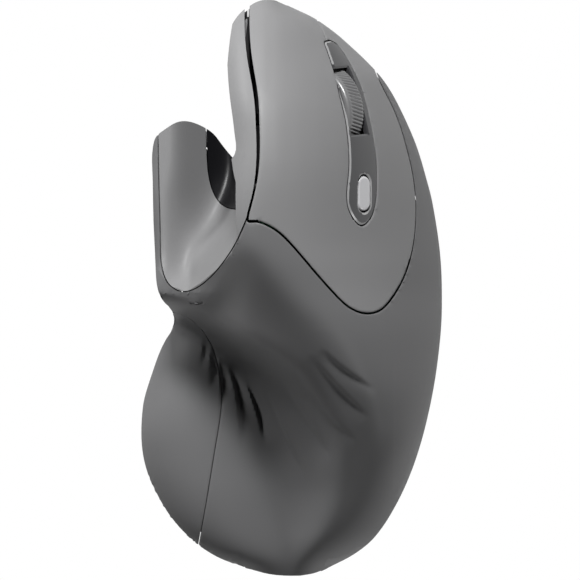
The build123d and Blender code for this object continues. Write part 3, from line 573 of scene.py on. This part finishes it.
# Wheel tyre: a rounded band whose slanting ribs fade into a smooth left shoulder. Millimetres, degrees.
tyre = {
    "radius": 9.5,
    "width": 5.0,
    "bore": 7.3,
    "shoulder": 0.9,
    "ribs": 76,
    "ribDepth": 0.34,
    "ribLean": 20.08,
    "roundFloor": 0.45,
    "fade": (-1.7, -0.7),
    "edgeFade": 0.5,
    "innerBand": 0.3,  # nothing is cut this near the bore
    "stepsPerRib": 8,
    "across": 22,
    "crease": 60,
}
plateUp = Vector((0.671, 0.240, 0.701))  # away from the key plate at the wheel
wheelTurn = next(item for item in frame["joints"] if item["name"] == "wheel_turn")
wheelAxle = Vector(wheelTurn["axis"]).normalized()
wheelAhead = plateUp.cross(wheelAxle).normalized()


def tyreOutline():  # across the band, from its left edge over the tread and back along the bore
    half = tyre["width"] / 2
    outline = []
    for x in np.linspace(-half, half, tyre["across"]):
        over = max(0.0, abs(x) - (half - tyre["shoulder"]))
        drop = tyre["shoulder"] - math.sqrt(tyre["shoulder"] ** 2 - over ** 2)
        outline.append((x, tyre["radius"] - drop))
    return outline + [(half, tyre["bore"]), (-half, tyre["bore"])]


def ribShare(x, angle):  # how deep the groove is here, from 0 on a rib to 1
    start, full = tyre["fade"]
    turn = angle + x * math.tan(math.radians(tyre["ribLean"])) / tyre["radius"]
    wave = 0.5 + 0.5 * math.cos(turn * tyre["ribs"])
    inward = float(easeStep((x - start) / (full - start)))
    edge = float(easeStep((tyre["width"] / 2 - abs(x)) / tyre["edgeFade"]))
    return (1 - wave ** tyre["roundFloor"]) * inward * edge


def tyreSkin():
    bm = bmesh.new()
    verts = [bm.verts.new((x * mm, 0, r * mm)) for x, r in tyreOutline()]
    edges = [bm.edges.new((verts[k], verts[(k + 1) % len(verts)])) for k in range(len(verts))]
    bmesh.ops.spin(bm, geom=verts + edges, cent=(0, 0, 0), axis=(1, 0, 0), angle=math.tau,
                   steps=tyre["ribs"] * tyre["stepsPerRib"], use_merge=True, use_duplicate=False)
    for vert in bm.verts:
        r = math.hypot(vert.co.y, vert.co.z)
        if r > (tyre["bore"] + tyre["innerBand"]) * mm:
            groove = ribShare(vert.co.x / mm, math.atan2(vert.co.y, vert.co.z))
            vert.co.yz = vert.co.yz * (1 - tyre["ribDepth"] * mm * groove / r)
    bmesh.ops.recalc_face_normals(bm, faces=bm.faces)
    low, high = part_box("wheel_axle")
    turn = Matrix((wheelAxle, wheelAhead, wheelAxle.cross(wheelAhead))).transposed().to_4x4()
    bmesh.ops.transform(bm, matrix=Matrix.Translation((low + high) / 2) @ turn, verts=bm.verts)
    return bm


tyreRing = addPiece("tyreRing", tyreSkin(), "tyreRubber", tyre["crease"])
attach(tyreRing, "wheel")
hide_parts("wheel_tyre")

# Strip: a chamfer stands round its top, glossy and painted lighter as a highlight, except along the
# wheel's slot. Millimetres, degrees.
stripForm = {"within": 0.6, "wide": 0.4, "high": 0.22, "slotReach": 7.9, "slotLeft": -2.8, "crease": 25}


def stripSkin():
    bm = loaded("wheel_trim")
    weld(bm)
    mids = np.array([face.calc_center_median() for face in bm.faces]) / mm
    faced = np.array([face.normal for face in bm.faces])
    over = mids[:, 2] - heightAt(mids[:, 0], mids[:, 1])
    level = (normalAt(mids[:, 0], mids[:, 1]) * faced).sum(axis=1) > skinGrid["alike"]
    wanted = level & (over > over[level].max() - stripForm["within"])
    tops = [face for face, keep in zip(bm.faces, wanted) if keep]
    rims = bmesh.ops.inset_region(bm, faces=tops, thickness=stripForm["wide"] * mm,
                                  depth=stripForm["high"] * mm, use_boundary=True,
                                  use_even_offset=True)["faces"]
    low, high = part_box("wheel_tyre")
    for face in rims:
        off = (face.calc_center_median() - (low + high) / 2) / mm
        besideWheel = abs(off.dot(wheelAhead)) < stripForm["slotReach"]
        inSlot = besideWheel and off.dot(wheelAxle) > stripForm["slotLeft"]
        # rim faces outside the slot get the painted highlight colour
        face.material_index = 0 if inSlot else 1
    return bm


wheelStrip = addPiece("wheelStrip", stripSkin(), "stripTrim", stripForm["crease"], "glossyRimAndPaintedHighlight")
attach(wheelStrip, "housing")
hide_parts("wheel_trim")

# Strip button: its pill-shaped top gets a rounded rim. Millimetres, degrees.
buttonForm = {"flat": 1.0, "top": 0.3, "round": 0.6, "segments": 4, "crease": 40}


def buttonSkin():
    bm = loaded("dpi_button")
    weld(bm)
    flat = math.radians(buttonForm["flat"])
    bmesh.ops.dissolve_limit(bm, angle_limit=flat, verts=bm.verts, edges=bm.edges)
    lift = {face: face.calc_center_median().dot(plateUp) for face in bm.faces}
    least = max(lift.values()) - buttonForm["top"] * mm
    top = max((face for face in bm.faces if lift[face] > least), key=lambda face: face.calc_area())
    bmesh.ops.bevel(bm, geom=list(top.edges), offset=buttonForm["round"] * mm, offset_type="OFFSET",
                    segments=buttonForm["segments"], profile=0.5, affect="EDGES",
                    clamp_overlap=False, material=-1)
    return bm


stripButton = addPiece("stripButton", buttonSkin(), "satinButton", buttonForm["crease"])
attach(stripButton, "dpi_key")
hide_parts("dpi_button")

# Studio: lamp places and sizes in metres, power in watts.
studio = {
    "floorColour": (0.3, 0.3, 0.3),
    "floorRough": 0.9,
    "floorReach": 3,
    "worldStrength": 0.02,
    "key": dict(place=(-0.05, 0.62, 0.8), size=0.2, power=18),
    "left": dict(place=(-0.85, 0.62, 0.22), size=0.3, power=8),
    "right": dict(place=(0.75, -0.8, 0.4), size=0.3, power=3.2),
    "shotDistance": 3.0,
    "sensor": 36,
    "spanAcross": 0.1204,  # what the picture spans at the centre
    "clipEnd": 20,
    "centre": (0.0, 0.0, 0.03),
}


def makeFloor():  # lit floor for the piece, plain white wherever it is looked at
    mesh = bpy.data.meshes.new("floor")
    bm = bmesh.new()
    bmesh.ops.create_grid(bm, x_segments=1, y_segments=1, size=studio["floorReach"])
    bm.to_mesh(mesh)
    bm.free()
    floor = bpy.data.objects.new("floor", mesh)
    bpy.context.scene.collection.objects.link(floor)
    mat, shader = newMaterial("paleFloor", studio["floorColour"], studio["floorRough"])
    tree = mat.node_tree
    path = tree.nodes.new("ShaderNodeLightPath")
    seen = tree.nodes.new("ShaderNodeMath")
    seen.operation = "MAXIMUM"
    mirrored = tree.nodes.new("ShaderNodeMath")
    mirrored.operation = "MAXIMUM"
    tree.links.new(path.outputs["Is Glossy Ray"], mirrored.inputs[0])
    tree.links.new(path.outputs["Is Transmission Ray"], mirrored.inputs[1])
    tree.links.new(path.outputs["Is Camera Ray"], seen.inputs[0])
    tree.links.new(mirrored.outputs[0], seen.inputs[1])
    white = tree.nodes.new("ShaderNodeEmission")
    white.inputs["Color"].default_value = (1, 1, 1, 1)
    white.inputs["Strength"].default_value = 1.0
    mix = tree.nodes.new("ShaderNodeMixShader")
    tree.links.new(seen.outputs[0], mix.inputs[0])
    tree.links.new(shader.outputs[0], mix.inputs[1])
    tree.links.new(white.outputs[0], mix.inputs[2])
    tree.links.new(mix.outputs[0], tree.nodes["Material Output"].inputs["Surface"])
    mesh.materials.append(mat)


def makeWorld():
    world = bpy.data.worlds.new("studio")
    world.use_nodes = True
    back = world.node_tree.nodes["Background"]
    back.inputs["Color"].default_value = (1, 1, 1, 1)
    back.inputs["Strength"].default_value = studio["worldStrength"]
    bpy.context.scene.world = world


def softLamp(name, place, size, power):
    data = bpy.data.lights.new(name, "AREA")
    data.shape = "SQUARE"
    data.size = size
    data.energy = power
    lamp = bpy.data.objects.new(name, data)
    lamp.location = place
    aim = Vector(studio["centre"]) - Vector(place)
    lamp.rotation_euler = aim.to_track_quat("-Z", "Y").to_euler()
    bpy.context.scene.collection.objects.link(lamp)


def makeCamera():
    data = bpy.data.cameras.new("shot")
    data.sensor_width = studio["sensor"]
    data.lens = studio["sensor"] * studio["shotDistance"] / studio["spanAcross"]
    data.clip_end = studio["clipEnd"]
    cam = bpy.data.objects.new("shot", data)
    cx, cy, cz = studio["centre"]
    cam.location = (cx, cy, cz + studio["shotDistance"])
    bpy.context.scene.collection.objects.link(cam)
    bpy.context.scene.camera = cam


makeFloor()
makeWorld()
softLamp("keyLamp", **studio["key"])
softLamp("leftLamp", **studio["left"])
softLamp("rightLamp", **studio["right"])
makeCamera()
bpy.context.scene.view_settings.view_transform = "Standard"
print("studio ready")
